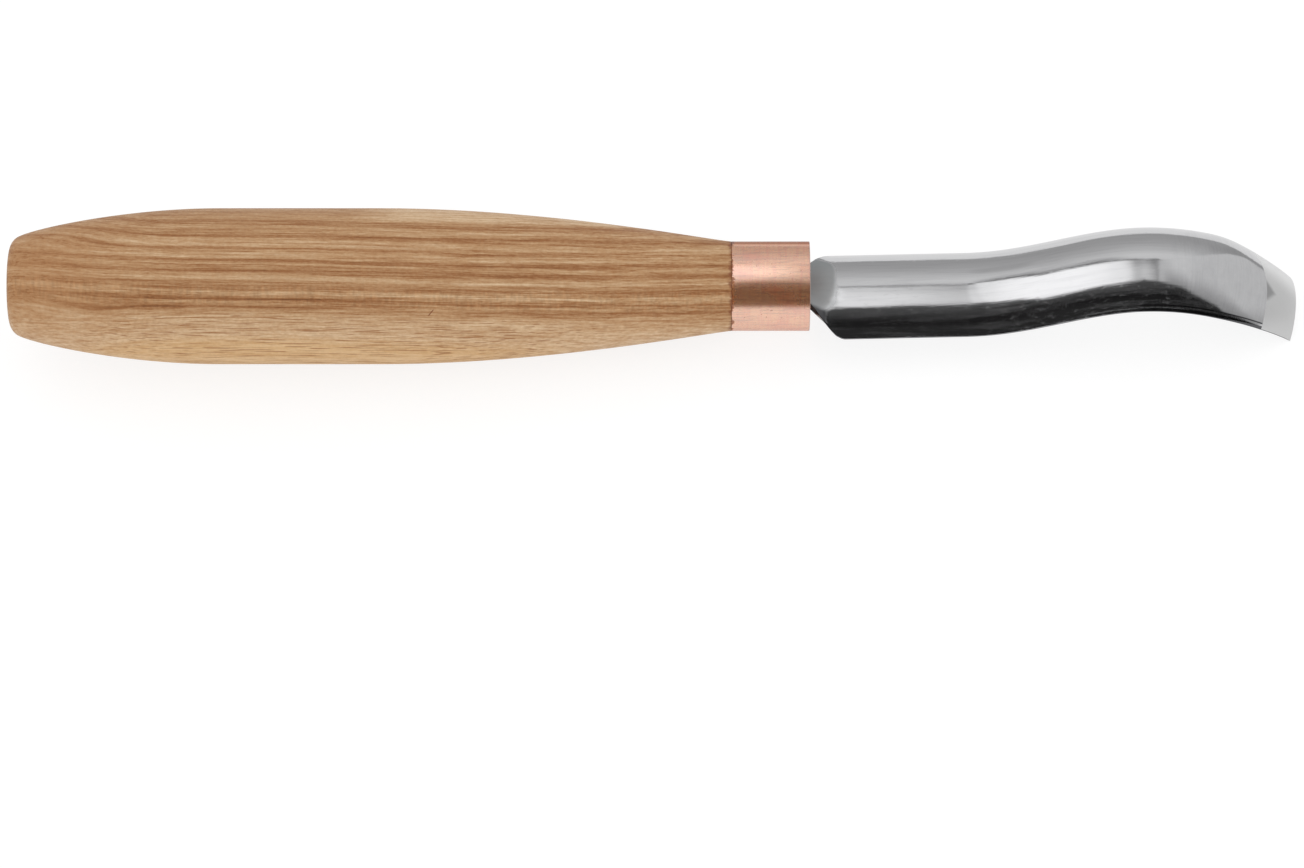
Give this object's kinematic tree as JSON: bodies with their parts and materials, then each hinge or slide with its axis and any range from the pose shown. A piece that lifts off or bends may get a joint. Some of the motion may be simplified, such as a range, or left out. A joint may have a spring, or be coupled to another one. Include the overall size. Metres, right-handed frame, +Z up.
{
  "type": "bent gouge",
  "caption": "Hand-carving bent gouge: turned ash handle with a flat butt, plain copper ferrule, and a polished steel channel blade bent near a bevelled cutting edge.",
  "frame": {"origin": "centre of the flat butt face of the handle", "axes": "+X along the handle's axis towards the cutting edge, +Z up out of the convex back of the blade, so the hollow faces -Z; the tool is symmetric about the XZ plane"},
  "size_m": [0.2013, 0.0244, 0.0244],
  "materials": {
    "ash_wood": "sanded and oiled, open straight grain",
    "copper": "brushed copper tube with light tarnish",
    "polished_steel": "polished along the blade, ground across it at the tip",
    "cured_glue": "clear amber cured adhesive"
  },
  "bodies": {
    "root": {"handle": "ash_wood", "ferrule": "copper", "blade": "polished_steel", "tang_adhesive": "cured_glue"}
  },
  "joints": []
}
